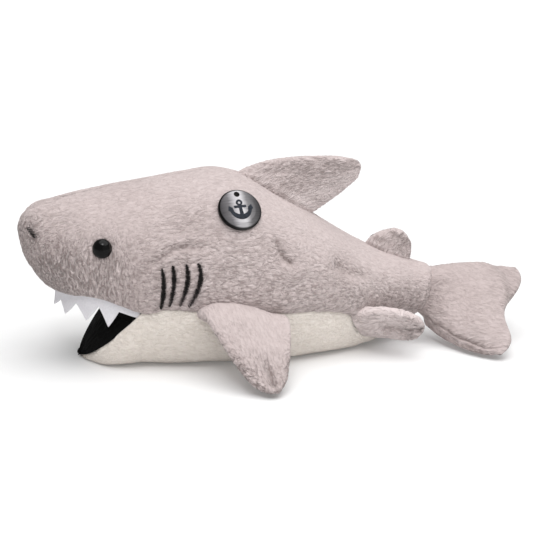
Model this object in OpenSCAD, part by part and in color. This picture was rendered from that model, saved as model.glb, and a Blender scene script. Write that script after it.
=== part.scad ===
// Plush shark lying on its belly with its mouth open, in millimetres.
// The nose points to -X, the shark's left side is -Y, and the floor is Z = 0.
// Cloth panels are thin shells, each stuffed limb has its own filling, and the
// loose folds between body, jaw, fins and tail are the places where it bends.

/* [Body] */
// Length from the nose to the tip of the tail fin
toy_length = 300; // [240:5:360]
// Width across the flanks at the widest place
body_width = 100; // [85:1:115]
// Height of the back just ahead of the dorsal fin
back_height = 108; // [95:1:120]
// Thickness of the plush with its pile pressed flat
cloth = 1.6; // [1.2:0.1:2]
// How far the tail stock bends to the shark's left
tail_bend = 10; // [0:1:16]

/* [Mouth] */
// Length of the lower jaw, from its fold to its tip
jaw_length = 32; // [24:1:36]
// Thickness of the black lining
lining = 1; // [0.6:0.1:1.4]
// Felt teeth on each side of the upper jaw
teeth_per_side = 3; // [2:1:4]
// Height of a tooth below the lip
tooth_height = 10.5; // [5:0.5:11]
// Thickness of the tooth felt
felt = 1.2; // [0.8:0.1:1.6]

/* [Face] */
// Diameter of a safety eye
eye_d = 11; // [9:0.5:14]
// Diameter of an eye's stem
stem_d = 4; // [3:0.5:5]
// Diameter of the lock washer behind an eye
washer_d = 14; // [12:0.5:16]
// Width of the embroidered gill slits and nostrils
stitch_w = 2.2; // [1.5:0.1:3]

/* [Fins] */
// Half thickness of a pectoral fin at its root
pectoral_half = 5.5; // [4.5:0.5:7]
// Half thickness of the dorsal fin at its root
dorsal_half = 5.5; // [4.5:0.5:7]
// Half thickness of a pelvic fin and of the rear dorsal fin
small_fin_half = 4.5; // [4:0.5:6]
// Half thickness of the tail fin at its root
tail_half = 6; // [5:0.5:7]

/* [Badge] */
// Diameter of the round badge
badge_d = 25; // [20:1:30]
// Diameter of the hole that the badge hangs by
badge_hole_d = 3.4; // [3.2:0.1:4]

/* [Hidden] */

// The outlines below are drawn for a shark of this size, and fit() scales their points.
drawn_length = 300;
drawn_width = 100;
drawn_height = 108;
kx = toy_length / drawn_length;
ky = body_width / drawn_width;
kz = back_height / drawn_height;

// Clearance between two soft pieces of one body.
gap = 0.2;
// Clearance between a cloth panel and the filling behind it, in the trunk and in a fin.
filling_gap = 0.9;
fin_filling_gap = 0.5;

// Rounding of the nose: its tip, its height and its radius.
nose_x = -150;
nose_z = 78;
nose_r = 14;
// The mouth corners, where the lower jaw folds.
corner_x = -86;
corner_y = 38.5;
corner_z = 35;
// The tail stock's end, and how far it leans back from bottom to top.
stock_x = 86;
stock_lean = 0.32;
lean_from = 50;
bend_from = 30;
stock_z = 30;
// The last station of the white belly, near its point under the tail stock.
belly_end_x = 62;
// Superellipse exponents: a slightly peaked back, and an underside that lies flat.
back_round = 1.85;
under_round = 3;

// Outline of the body, one row per station from nose to tail:
// x, back z, widest half width, height of the widest line, edge half width, edge z.
// The edge is the lip as far as the mouth corner, and then the seam of grey and white.
BODY = [
    [-150, 90, 14, 74, 0, 54],
    [-141, 92.5, 18.5, 69, 0, 50],
    [-132, 94, 23, 65, 0, 43],
    [-123, 96, 27.5, 61, 16, 42],
    [-115, 97.5, 31.5, 59, 26.5, 43],
    [-106, 99, 35, 56, 32.5, 42.5],
    [-97, 100.5, 38.5, 53, 36, 39.5],
    [-86, 102, 41.5, 49, 38.5, 36],
    [-72, 104, 45, 46, 43, 38],
    [-54, 106.5, 48, 44, 46.5, 37],
    [-38, 108, 49.5, 43, 48, 36.5],
    [-22, 104, 50, 42, 48.5, 36],
    [0, 91, 49, 41, 46.5, 33.5],
    [20, 78.8, 44.5, 38, 41.5, 31],
    [34, 69.5, 39, 36, 35.5, 27],
    [48, 61, 32.5, 34, 26, 15],
    [60, 55.3, 26, 33, 13, 4.5],
    [66, 53, 23.5, 32.5, 0, 5],
    [76, 48.5, 18.5, 31.5, 0, 11],
    [88, 44.5, 13, 30.5, 0, 16.5]
];
// Height of the belly's centre line. Below the floor it is pressed flat.
BELLY = [[-86, -1.5], [-40, -2.5], [10, -2.5], [40, -1], [52, 1.5], [66, 5], [76, 11], [88, 16.5]];
// How far the roof of the mouth arches above the lips.
ARCH = [[-132, 1], [-110, 5], [-86, 1]];

// ---------- numbers ----------

function clamp01(t) = min(max(t, 0), 1);

function mix(a, b, t) = a + (b - a) * t;

function unit(v) = v / max(norm(v), 1e-6);

function row_of(T, x, i = 0) = i >= len(T) - 2 || x < T[i + 1][0] ? i : row_of(T, x, i + 1);

function slope_at(T, i, k) =
    let (a = max(i - 1, 0), b = min(i + 1, len(T) - 1))
    (T[b][k] - T[a][k]) / (T[b][0] - T[a][0]);

// Smooth value of column k of table T at x.
function at(T, x, k = 1) =
    let (i = row_of(T, x), h = T[i + 1][0] - T[i][0], t = clamp01((x - T[i][0]) / h))
    (2 * t ^ 3 - 3 * t ^ 2 + 1) * T[i][k]
    + (t ^ 3 - 2 * t ^ 2 + t) * h * slope_at(T, i, k)
    + (3 * t ^ 2 - 2 * t ^ 3) * T[i + 1][k]
    + (t ^ 3 - t ^ 2) * h * slope_at(T, i + 1, k);

function bezier(P, t) =
    (1 - t) ^ 3 * P[0] + 3 * t * (1 - t) ^ 2 * P[1] + 3 * t ^ 2 * (1 - t) * P[2] + t ^ 3 * P[3];

function fit(p) = [p.x * kx, p.y * ky, p.z * kz];

// ---------- closed meshes from grids of points ----------

// A plate between two grids of the same size, closed by four rims.
module plate(outer, inner) {
    rows = len(outer);
    cols = len(outer[0]);
    half = rows * cols;
    points = [for (side = [outer, inner]) for (line = side) for (p = line) fit(p)];
    quads = [for (i = [0 : rows - 2]) for (j = [0 : cols - 2]) [i, j]];
    function id(i, j) = i * cols + j;
    function rim(a, b) = [[a, b, b + half], [a, b + half, a + half]];
    skin = [for (q = quads) for (f = [
        [id(q[0], q[1]), id(q[0], q[1] + 1), id(q[0] + 1, q[1] + 1)],
        [id(q[0], q[1]), id(q[0] + 1, q[1] + 1), id(q[0] + 1, q[1])]
    ]) f];
    back = [for (f = skin) [f[2] + half, f[1] + half, f[0] + half]];
    ends = [for (j = [0 : cols - 2]) for (f = concat(
        rim(id(0, j + 1), id(0, j)),
        rim(id(rows - 1, j), id(rows - 1, j + 1))
    )) f];
    sides = [for (i = [0 : rows - 2]) for (f = concat(
        rim(id(i, 0), id(i + 1, 0)),
        rim(id(i + 1, cols - 1), id(i, cols - 1))
    )) f];
    polyhedron(points, concat(skin, back, ends, sides));
}

// A solid through closed rings of points, with a fan of triangles at each end.
module loft(rings) {
    n = len(rings[0]);
    rows = len(rings);
    share = [for (j = [1 : n]) 1 / n];
    middle = [for (r = [rings[0], rings[rows - 1]]) share * r];
    points = [for (p = concat([for (r = rings) for (p = r) p], middle)) fit(p)];
    function id(i, j) = i * n + j % n;
    walls = [for (i = [0 : rows - 2]) for (j = [0 : n - 1]) for (f = [
        [id(i, j), id(i, j + 1), id(i + 1, j + 1)],
        [id(i, j), id(i + 1, j + 1), id(i + 1, j)]
    ]) f];
    first = [for (j = [0 : n - 1]) [rows * n, id(0, j + 1), id(0, j)]];
    last = [for (j = [0 : n - 1]) [rows * n + 1, id(rows - 1, j), id(rows - 1, j + 1)]];
    polyhedron(points, concat(walls, first, last));
}

// Stands its children on the point p, with their +Z along n and their -X uphill.
module stand(p, n) {
    translate(fit(p)) rotate([0, acos(n.z), atan2(n.y, n.x)]) children();
}

// ---------- body surface ----------

function nose_cap(x) = sqrt(max(0, 1 - max(0, (nose_x + nose_r - x) / nose_r) ^ 2));

function capped_z(x, z) = mix(nose_z, z, nose_cap(x));

function back_z(x) = capped_z(x, at(BODY, x, 1));

function flank_y(x) = at(BODY, x, 2) * nose_cap(x);

function flank_z(x) = capped_z(x, at(BODY, x, 3));

function edge_y(x) = max(at(BODY, x, 4), 0) * nose_cap(x);

function edge_z(x) = capped_z(x, at(BODY, x, 5));

// Bends the tail stock to the left and leans its end back.
function bend_y(x) = -tail_bend * max(0, (x - bend_from) / 60) ^ 2;

function lean(x) = stock_lean * max(0, (x - lean_from) / (stock_x - lean_from)) ^ 2;

function warp(p) = [p.x + lean(p.x) * (p.z - stock_z), p.y + bend_y(p.x), p.z];

// Moves a point d towards the body's core line.
function sunk(p, d) =
    let (core = [max(p.x, nose_x + nose_r), 0, flank_z(p.x)])
    p + unit(core - p) * min(d, 0.7 * norm(core - p));

flank_steps = 6;
cheek_steps = 4;

// Point k of a side panel's section, from the back's centre line down to the panel's edge.
function side_point(x, s, k, y_least = 0) =
    let (
        up = 90 - 90 * k / flank_steps,
        down = 90 * (k - flank_steps) / cheek_steps,
        ye = max(edge_y(x), y_least)
    )
    k <= flank_steps
        ? [x, s * flank_y(x) * cos(up) ^ (2 / back_round),
            mix(flank_z(x), back_z(x), sin(up) ^ (2 / back_round))]
        : [x, s * mix(ye, flank_y(x), cos(down)), mix(flank_z(x), edge_z(x), sin(down))];

function side_row(x, s, d, y_least = 0) =
    [for (k = [0 : flank_steps + cheek_steps]) warp(sunk(side_point(x, s, k, y_least), d))];

// Point of the belly's section at u, from -1 at the left seam to 1 at the right seam.
function belly_point(x, u, y_least = 0) =
    let (a = 90 * (1 - abs(u)))
    [x, sign(u) * max(edge_y(x), y_least) * cos(a) ^ (2 / under_round),
        max(0, mix(edge_z(x), at(BELLY, x), sin(a) ^ (2 / under_round)))];

belly_steps = 10;

function belly_row(x, d, y_least = 0) =
    [for (k = [0 : belly_steps]) warp(sunk(belly_point(x, 2 * k / belly_steps - 1, y_least), d))];

// Point of the roof of the mouth at u, d above its visible face.
function palate_point(x, u, d, y_least = 0) =
    let (lip = sunk([x, max(edge_y(x), y_least), edge_z(x)], cloth + gap))
    [x, u * lip.y, lip.z + at(ARCH, x) * (1 - u * u) + d];

// The flank's half width at x and height z, on the cloth's outside.
function flank_half(x, z) =
    z >= flank_z(x)
        ? flank_y(x) * (1 - clamp01((z - flank_z(x)) / (back_z(x) - flank_z(x))) ^ back_round)
            ^ (1 / back_round)
        : mix(edge_y(x), flank_y(x), sqrt(1 - clamp01((flank_z(x) - z) / (flank_z(x) - edge_z(x))) ^ 2));

function on_flank(x, z, s) = [x, s * flank_half(x, z), z];

function flank_normal(x, z, s) =
    let (
        e = 1,
        a = on_flank(x + e, z, s) - on_flank(x - e, z, s),
        b = on_flank(x, z + e, s) - on_flank(x, z - e, s)
    )
    unit(cross(a, b)) * s * -1;

nose_steps = [6, 24, 42, 60, 78];
station_step = 8;
lip_x = nose_x + nose_r + 2;
STATIONS = concat(
    [for (a = nose_steps) nose_x + nose_r * (1 - cos(a))],
    [for (x = [lip_x : station_step : stock_x - 1]) x],
    [stock_x]
);
HEAD_STATIONS = [for (x = STATIONS) if (x <= corner_x) x];
TRUNK_STATIONS = [for (x = STATIONS) if (x >= corner_x) x];
BELLY_STATIONS = concat([for (x = TRUNK_STATIONS) if (x < belly_end_x - 1) x], [belly_end_x]);

// ---------- torso ----------

grey = [0.72, 0.67, 0.66];
white = [0.93, 0.9, 0.87];
black = [0.05, 0.05, 0.05];
stuffing = [0.96, 0.96, 0.94];

module side_panel(s) {
    outer = [for (x = STATIONS) side_row(x, s, 0)];
    inner = [for (x = STATIONS) side_row(x, s, cloth)];
    difference() {
        if (s < 0) plate(inner, outer);
        else plate(outer, inner);
        eye_place(s) translate([0, 0, -stem_length])
            cylinder(d = stem_d + 0.2, h = 2 * stem_length, $fn = 32);
    }
}

module left_side_panel() {
    color(grey) side_panel(-1);
}

module right_side_panel() {
    color(grey) side_panel(1);
}

module belly_panel() {
    color(white) plate(
        [for (x = BELLY_STATIONS) belly_row(x, cloth)],
        [for (x = BELLY_STATIONS) belly_row(x, 0)]
    );
}

// The filling of the tail stock is slimmer by this much all round.
stock_gap = 2;

function filling_in(x) = cloth + filling_gap + stock_gap * clamp01((x - lean_from) / 10);

// The fillings keep at least this half width at their lower edge, where a section would be a point.
filling_edge = 3;

// A ring round a filling: down the right side to point `low`, across `under` and up the left side.
function filling_ring(x, low, under) = concat(
    [for (k = [0 : low]) side_row(x, 1, filling_in(x), filling_edge)[k]],
    under,
    [for (k = [low : -1 : 1]) side_row(x, -1, filling_in(x), filling_edge)[k]]
);

// The underside of the head filling lies on the palate, and stops short of the lips.
palate_us = [0.85, 0.45, 0, -0.45, -0.85];

function over_palate(x) =
    [for (u = palate_us) warp(palate_point(x, u, lining + 2 * gap, filling_edge))];

module head_filling() {
    xs = [for (x = HEAD_STATIONS) if (x > nose_x + nose_r) x];
    low = flank_steps + cheek_steps - 1;
    color(stuffing) loft([for (x = xs) filling_ring(x, low, over_palate(x))]);
}

function in_belly(x) =
    let (row = belly_row(x, filling_in(x), filling_edge))
    [for (k = [belly_steps - 1 : -1 : 1]) row[k]];

module body_filling() {
    xs = [for (x = TRUNK_STATIONS) x == corner_x ? x + gap : x == stock_x ? x - filling_gap : x];
    low = flank_steps + cheek_steps;
    color(stuffing) loft([for (x = xs) filling_ring(x, low, in_belly(x))]);
}

module palate_lining() {
    xs = [for (x = HEAD_STATIONS) if (x > lip_x + 1) x == corner_x ? x - gap : x];
    us = [-1 : 0.25 : 1];
    color(black) plate(
        [for (x = xs) [for (u = us) palate_point(x, u, 0)]],
        [for (x = xs) [for (u = us) palate_point(x, u, lining)]]
    );
}

// ---------- teeth ----------

// The strip runs inside the lip from the mouth corner to the nose. Its first stretch is bare.
strip_from_x = -88.5;
tooth_from_x = -98;
tooth_to_x = -131.3;
tooth_columns = 6;
bare_columns = 2;
// Felt that shows between the lip and the roots of the teeth.
tooth_band = 5;
// The front tooth is this much of the height of the one by the corner.
front_tooth = 0.7;

// Column j of the strip, from the corner: a point at the lip and one at the felt's lower edge.
function tooth_column(j, s) =
    let (
        along = (j - bare_columns) / (teeth_per_side * tooth_columns),
        x = along < 0
            ? mix(strip_from_x, tooth_from_x, j / bare_columns)
            : mix(tooth_from_x, tooth_to_x, along),
        saw = along < 0 ? 0 : 1 - abs(2 * ((j - bare_columns) / tooth_columns % 1) - 1),
        band = mix(1, tooth_band, clamp01(j / bare_columns)),
        drop = band + saw * tooth_height * mix(1, front_tooth, along),
        top = sunk([x, edge_y(x), edge_z(x)], cloth + 2 * gap)
    )
    [for (z = [0, -drop]) [x, s * max(top.y - 2 * gap, gap), top.z - gap + z]];

module tooth_strip(s) {
    n = bare_columns + teeth_per_side * tooth_columns;
    outer = [for (j = [0 : n]) tooth_column(j, s)];
    inner = [for (line = outer) let (y = abs(line[0].y)) [for (p = line)
        [p.x + felt * clamp01(1.6 - y / 20), s * max(gap, y - felt), p.z]]];
    if (s < 0) plate(outer, inner);
    else plate(inner, outer);
}

module tooth_strip_left() {
    color(white) tooth_strip(-1);
}

module tooth_strip_right() {
    color(white) tooth_strip(1);
}

// ---------- eyes ----------

eye_x = -106;
eye_z = 72;
stem_length = 9;
dome_height = 4.6;
dome_base = 1.2;
washer_t = 1.6;
// The washer sits this far under the cloth's outside.
washer_depth = 5;

module eye_place(s) {
    stand(on_flank(eye_x, eye_z, s), flank_normal(eye_x, eye_z, s)) children();
}

module eye(s) {
    r = eye_d / 2;
    dome = [for (a = [0 : 10 : 90]) [r * cos(a), dome_base + (dome_height - dome_base) * sin(a)]];
    eye_place(s) rotate_extrude($fn = 64) polygon(concat(
        [[0, -stem_length], [stem_d / 2 - 0.4, -stem_length], [stem_d / 2, -stem_length + 0.6]],
        [[stem_d / 2, 0.1], [r - 0.6, 0.1], [r, dome_base / 2]],
        dome
    ));
}

module eye_left() {
    color(black) eye(-1);
}

module eye_right() {
    color(black) eye(1);
}

module eye_washer(s) {
    eye_place(s) translate([0, 0, -washer_depth]) difference() {
        cylinder(d = washer_d, h = washer_t, $fn = 64);
        translate([0, 0, -1]) cylinder(d = stem_d + 0.1, h = washer_t + 2, $fn = 64);
    }
}

module eye_washer_left() {
    color([0.85, 0.85, 0.85]) eye_washer(-1);
}

module eye_washer_right() {
    color([0.85, 0.85, 0.85]) eye_washer(1);
}

// ---------- embroidery ----------

stitch_t = 0.9;
stitch_off = 0.1;
stitch_steps = 6;

// A bar of satin stitch on the flank, through three points given as x and z.
module stitch_bar(path, s) {
    function centre(t) =
        (1 - t) * (1 - 2 * t) * path[0] + 4 * t * (1 - t) * path[1] + t * (2 * t - 1) * path[2];
    function side_at(t, w, d) =
        let (
            e = 0.02,
            way = unit(centre(t + e) - centre(t - e)),
            p = centre(t) + w * [-way.y, way.x],
            q = on_flank(p.x, p.y, s)
        )
        q + flank_normal(p.x, p.y, s) * d;
    half = stitch_w / 2;
    function grid(d) = [for (i = [0 : stitch_steps]) [for (w = [-half, 0, half])
        side_at(i / stitch_steps, w, w == 0 ? d : mix(stitch_off, d, 0.5))]];
    under = [for (i = [0 : stitch_steps]) [for (w = [-half, 0, half])
        side_at(i / stitch_steps, w, stitch_off)]];
    if (s < 0) plate(under, grid(stitch_t));
    else plate(grid(stitch_t), under);
}

GILLS = [
    [[-74.5, 61.5], [-74, 51], [-75.6, 39.5]],
    [[-68.6, 63], [-68.4, 53], [-71, 41]],
    [[-61.3, 63.5], [-61, 54], [-65.3, 41]],
    [[-54.7, 64], [-54, 54], [-60.4, 40.5]]
];
NOSTRIL = [[-144.6, 80.5], [-142.2, 77.8], [-140.2, 75.2]];

module gill_stitches_left() {
    color(black) for (path = GILLS) stitch_bar(path, -1);
}

module gill_stitches_right() {
    color(black) for (path = GILLS) stitch_bar(path, 1);
}

module nostril_stitch_left() {
    color(black) stitch_bar(NOSTRIL, -1);
}

module nostril_stitch_right() {
    color(black) stitch_bar(NOSTRIL, 1);
}

// ---------- lower jaw ----------

// The jaw is a wedge: its rim runs straight down from the mouth corners to a tip on the floor.
jaw_plan = 1.7;
jaw_end = 0.985;
jaw_rows = 8;
jaw_crown = 3;
jaw_fold_gap = 0.4;
rim_tip_z = 1.5;

function jaw_x(d) = corner_x - jaw_fold_gap - jaw_length * d;

function jaw_half(d) = corner_y * (1 - d ^ jaw_plan) ^ (1 / jaw_plan);

function rim_z(d) = mix(corner_z, rim_tip_z, d);

function jaw_sunk(p, d, amount) =
    let (core = [p.x, 0, rim_z(d) * 0.6])
    p + unit(core - p) * min(amount, 0.6 * norm(core - p));

function jaw_row(d, amount) = [for (k = [0 : belly_steps])
    let (u = 2 * k / belly_steps - 1, a = 90 * (1 - abs(u)))
    jaw_sunk([jaw_x(d), sign(u) * jaw_half(d) * cos(a) ^ (2 / under_round),
        max(0, rim_z(d) - (rim_z(d) + 1.5) * sin(a) ^ (2 / under_round))], d, amount)];

// The lining's upper face, or a face at depth below it.
function jaw_top(d, u, depth) =
    let (crown = jaw_crown * sin(180 * d) * (1 - u * u))
    [jaw_x(d), u * max(jaw_half(d) - cloth - gap, 1), rim_z(d) + crown - depth];

JAW_D = [for (i = [0 : jaw_rows]) jaw_end * sin(90 * i / jaw_rows)];

module jaw_panel() {
    color(white) plate(
        [for (d = JAW_D) jaw_row(d, 0)],
        [for (d = JAW_D) jaw_row(d, cloth)]
    );
}

module jaw_lining() {
    us = [-1 : 0.25 : 1];
    ds = [for (d = JAW_D) if (d < 0.93) d];
    color(black) plate(
        [for (d = ds) [for (u = us) jaw_top(d, u, lining)]],
        [for (d = ds) [for (u = us) jaw_top(d, u, 0)]]
    );
}

module jaw_filling() {
    ds = [for (i = [0 : 5]) mix(0.01, 0.7, i / 5)];
    color(stuffing) loft([for (d = ds) concat(
        [for (k = [1 : belly_steps - 1]) jaw_row(d, cloth + 2 * gap)[k]],
        [for (u = [0.8 : -0.4 : -0.8]) jaw_top(d, u, lining + 2 * gap)]
    )]);
}

// ---------- fins ----------

// A fin is drawn between two edge curves that run from its root to its tip:
// [upper or leading edge, lower or trailing edge, notch vector, half thickness at root and tip, span].
fin_rows = 9;
fin_cols = 8;
fin_cloth = 1.3;
fin_edge = 0.45;
fin_mid_gap = 0.1;
tip_round = 0.14;

PECTORAL = [
    [[-55, -51, 37], [-52, -68, 40], [-41.5, -76, 10.5], [-28.5, -94.5, 4]],
    [[-7, -51, 32], [-4, -64, 36], [-9, -70, 12], [-15.5, -94.5, 4]],
    [0, 0, 0], pectoral_half, 3.4, 66
];
PELVIC = [
    [[42, -37, 28], [52, -43, 32], [67, -46, 30], [78, -46, 22]],
    [[57, -28, 10], [62, -32, 8.5], [69, -38, 8], [76, -44, 12]],
    [0, 0, 0], small_fin_half, 3.2, 28
];
DORSAL = [
    [[-22, 0, 105.5], [-4, 0, 114.5], [20, 0, 112.5], [47, 0, 111]],
    [[22, 0, 79.5], [31, 0, 85], [43, 0, 92.5], [52, 0, 102]],
    [0, 0, 0], dorsal_half, 3.4, 55
];
REAR_DORSAL = [
    [[54, -1.5, 59.5], [58, -2, 65.5], [66, -3, 67], [73.5, -4.5, 67.5]],
    [[79, -7, 48.8], [80, -7, 52], [80.5, -6.5, 56], [79.5, -6, 61]],
    [0, 0, 0], small_fin_half, 3.2, 18
];
TAIL = [
    [[92, -9.5, 43.5], [108, -8, 46], [132, -5, 43], [159.4, -6, 40]],
    [[83.5, -10.5, 18.5], [96, -25, 5.8], [108, -50, 4.8], [128, -63, 4.8]],
    [-14, 0, 0], tail_half, 3.6, 60
];

function fin_mid(F, v, c) =
    let (w = v * (1 - tip_round * abs(2 * c - 1) ^ 3))
    mix(bezier(F[0], w), bezier(F[1], w), c) + F[2] * sin(180 * c) ^ 2 * v ^ 2;

function fin_normal(F, v, c) =
    let (
        e = 0.03,
        a = fin_mid(F, v + e, c) - fin_mid(F, v - e, c),
        b = fin_mid(F, v, c + e) - fin_mid(F, v, c - e)
    )
    unit(cross(a, b));

// Half thickness at v along the span and c across the chord, rounded off all round.
function fin_half(F, v, c) =
    let (
        root = clamp01(v * F[5] / F[3]),
        ends = sqrt(1 - (1 - root) ^ 2) * sqrt(1 - clamp01(v) ^ 8),
        bump = sqrt(max(0, 1 - abs(2 * c - 1) ^ 2.4))
    )
    max(fin_edge, mix(F[3], F[4], v) * ends * bump);

function fin_point(F, v, c, h) = fin_mid(F, v, c) + fin_normal(F, v, c) * h;

FIN_V = concat([0, 0.03, 0.08], [for (i = [2 : fin_rows]) i / fin_rows * 0.97], [1]);
FIN_C = [for (i = [0 : fin_cols]) (1 - cos(180 * i / fin_cols)) / 2];

// One cloth half of a fin, on the side s of its middle surface.
module fin_panel(F, s) {
    outer = [for (v = FIN_V) [for (c = FIN_C) fin_point(F, v, c, s * fin_half(F, v, c))]];
    inner = [for (v = FIN_V) [for (c = FIN_C)
        fin_point(F, v, c, s * max(fin_mid_gap, fin_half(F, v, c) - fin_cloth))]];
    if (s < 0) plate(outer, inner);
    else plate(inner, outer);
}

module fin_filling(F) {
    vs = [for (i = [0 : 6]) mix(0.14, 0.86, i / 6)];
    cs = [for (i = [0 : 5]) mix(0.16, 0.84, i / 5)];
    inset = fin_cloth + fin_filling_gap;
    color(stuffing) plate(
        [for (v = vs) [for (c = cs) fin_point(F, v, c, inset - fin_half(F, v, c))]],
        [for (v = vs) [for (c = cs) fin_point(F, v, c, fin_half(F, v, c) - inset)]]
    );
}

module other_side() {
    mirror([0, 1, 0]) children();
}

module pectoral_left_top() {
    color(grey) fin_panel(PECTORAL, 1);
}

module pectoral_left_under() {
    color(grey) fin_panel(PECTORAL, -1);
}

module pectoral_left_filling() {
    fin_filling(PECTORAL);
}

module pectoral_right_top() {
    other_side() pectoral_left_top();
}

module pectoral_right_under() {
    other_side() pectoral_left_under();
}

module pectoral_right_filling() {
    other_side() pectoral_left_filling();
}

module pelvic_left_outer() {
    color(grey) fin_panel(PELVIC, -1);
}

module pelvic_left_inner() {
    color(grey) fin_panel(PELVIC, 1);
}

module pelvic_left_filling() {
    fin_filling(PELVIC);
}

module pelvic_right_outer() {
    other_side() pelvic_left_outer();
}

module pelvic_right_inner() {
    other_side() pelvic_left_inner();
}

module pelvic_right_filling() {
    other_side() pelvic_left_filling();
}

module dorsal_left_panel() {
    color(grey) fin_panel(DORSAL, -1);
}

module dorsal_right_panel() {
    color(grey) fin_panel(DORSAL, 1);
}

module dorsal_filling() {
    fin_filling(DORSAL);
}

module rear_dorsal_left_panel() {
    color(grey) fin_panel(REAR_DORSAL, -1);
}

module rear_dorsal_right_panel() {
    color(grey) fin_panel(REAR_DORSAL, 1);
}

module rear_dorsal_filling() {
    fin_filling(REAR_DORSAL);
}

module tail_left_panel() {
    color(grey) fin_panel(TAIL, -1);
}

module tail_right_panel() {
    color(grey) fin_panel(TAIL, 1);
}

module tail_filling() {
    fin_filling(TAIL);
}

// ---------- badge ----------

badge_x = -29;
badge_z = 89.5;
// The badge clears the bulge of the flank by this much.
badge_off = 0.5;
badge_t = 3;
badge_sheet = 0.5;
badge_dome = 0.8;
hole_off = badge_d / 2 - 3.4;
// The back plate has a narrower hole, which the thread's knot can't pass.
thread_hole_d = 2;
// The knot's underside, just in front of the back plate, and its radius.
knot_z = 1.1;
knot_r = 1.4;
steel = [0.6, 0.6, 0.62];

module badge_place() {
    stand(on_flank(badge_x, badge_z, -1), flank_normal(badge_x, badge_z, -1))
        translate([0, 0, badge_off]) children();
}

module badge_hole(d) {
    translate([-hole_off, 0, -5]) cylinder(d = d, h = 15, $fn = 32);
}

// Domed front with a turned-down rim.
module badge_shell() {
    r = badge_d / 2;
    color(steel) badge_place() difference() {
        rotate_extrude($fn = 96) polygon([
            [0, badge_t], [r * 0.7, badge_t - 0.3], [r - 0.8, badge_t - badge_dome],
            [r, badge_t - badge_dome - 0.8], [r, 0], [r - badge_sheet, 0],
            [r - badge_sheet, badge_t - badge_dome - 1], [r - 1.1, badge_t - badge_dome - badge_sheet],
            [r * 0.7, badge_t - 0.3 - badge_sheet], [0, badge_t - badge_sheet]
        ]);
        badge_hole(badge_hole_d);
    }
}

module badge_back() {
    color(steel) badge_place() difference() {
        translate([0, 0, 0.1]) cylinder(d = badge_d - 2 * badge_sheet - 0.1, h = 0.9, $fn = 96);
        badge_hole(thread_hole_d);
    }
}

// The thread that holds the badge: it comes through the back plate, and its knot sits in the shell's hole.
module badge_thread() {
    color(black) badge_place() translate([-hole_off, 0, 0]) rotate_extrude($fn = 32) polygon([
        [0, -badge_off], [0.8, -badge_off], [0.8, knot_z], [knot_r - 0.1, knot_z + 0.1],
        [knot_r, knot_z + 0.5], [knot_r - 0.4, knot_z + 0.9], [0, knot_z + 1]
    ]);
}

left_side_panel();
right_side_panel();
belly_panel();
head_filling();
body_filling();
palate_lining();
tooth_strip_left();
tooth_strip_right();
eye_left();
eye_right();
eye_washer_left();
eye_washer_right();
nostril_stitch_left();
nostril_stitch_right();
gill_stitches_left();
gill_stitches_right();
jaw_panel();
jaw_lining();
jaw_filling();
pectoral_left_top();
pectoral_left_under();
pectoral_left_filling();
pectoral_right_top();
pectoral_right_under();
pectoral_right_filling();
pelvic_left_outer();
pelvic_left_inner();
pelvic_left_filling();
pelvic_right_outer();
pelvic_right_inner();
pelvic_right_filling();
dorsal_left_panel();
dorsal_right_panel();
dorsal_filling();
rear_dorsal_left_panel();
rear_dorsal_right_panel();
rear_dorsal_filling();
tail_left_panel();
tail_right_panel();
tail_filling();
badge_shell();
badge_back();
badge_thread();
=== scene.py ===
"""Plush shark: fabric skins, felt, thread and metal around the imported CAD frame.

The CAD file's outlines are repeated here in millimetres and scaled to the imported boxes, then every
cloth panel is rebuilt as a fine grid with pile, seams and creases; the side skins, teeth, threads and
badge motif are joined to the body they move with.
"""
import math

import bmesh
import bpy
import numpy as np
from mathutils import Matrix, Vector


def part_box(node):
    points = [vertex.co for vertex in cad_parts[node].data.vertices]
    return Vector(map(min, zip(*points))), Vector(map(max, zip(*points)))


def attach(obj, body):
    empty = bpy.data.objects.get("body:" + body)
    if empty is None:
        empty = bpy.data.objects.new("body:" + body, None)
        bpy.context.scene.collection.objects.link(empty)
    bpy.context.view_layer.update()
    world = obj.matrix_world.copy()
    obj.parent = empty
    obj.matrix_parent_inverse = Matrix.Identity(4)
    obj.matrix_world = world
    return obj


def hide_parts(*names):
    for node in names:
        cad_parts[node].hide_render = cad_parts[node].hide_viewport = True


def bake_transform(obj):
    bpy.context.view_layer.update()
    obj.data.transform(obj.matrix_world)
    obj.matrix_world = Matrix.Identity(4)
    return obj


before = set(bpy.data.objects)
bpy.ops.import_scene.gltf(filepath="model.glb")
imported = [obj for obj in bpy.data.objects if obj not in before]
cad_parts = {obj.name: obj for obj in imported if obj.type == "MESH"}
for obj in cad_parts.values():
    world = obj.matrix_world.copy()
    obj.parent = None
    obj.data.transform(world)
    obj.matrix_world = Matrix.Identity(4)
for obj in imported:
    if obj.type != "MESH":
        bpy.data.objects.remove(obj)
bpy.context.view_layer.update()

MM = 0.001
# Spacing of the fine grids, in mm.
GRID = 0.56

# ---------- outlines, as part.scad draws them ----------

nose_x, nose_z, nose_r = -150.0, 78.0, 14.0
corner_x, corner_y, corner_z = -86.0, 38.5, 35.0
stock_x, stock_lean, lean_from, stock_z = 86.0, 0.32, 50.0, 30.0
bend_from, tail_bend, bend_run = 30.0, 10.0, 60.0
belly_end_x = 63.0
back_round, under_round = 1.85, 3.0
# The stock's cloth is rolled in past the end of its filling.
skin_end_x = 88.6

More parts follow.
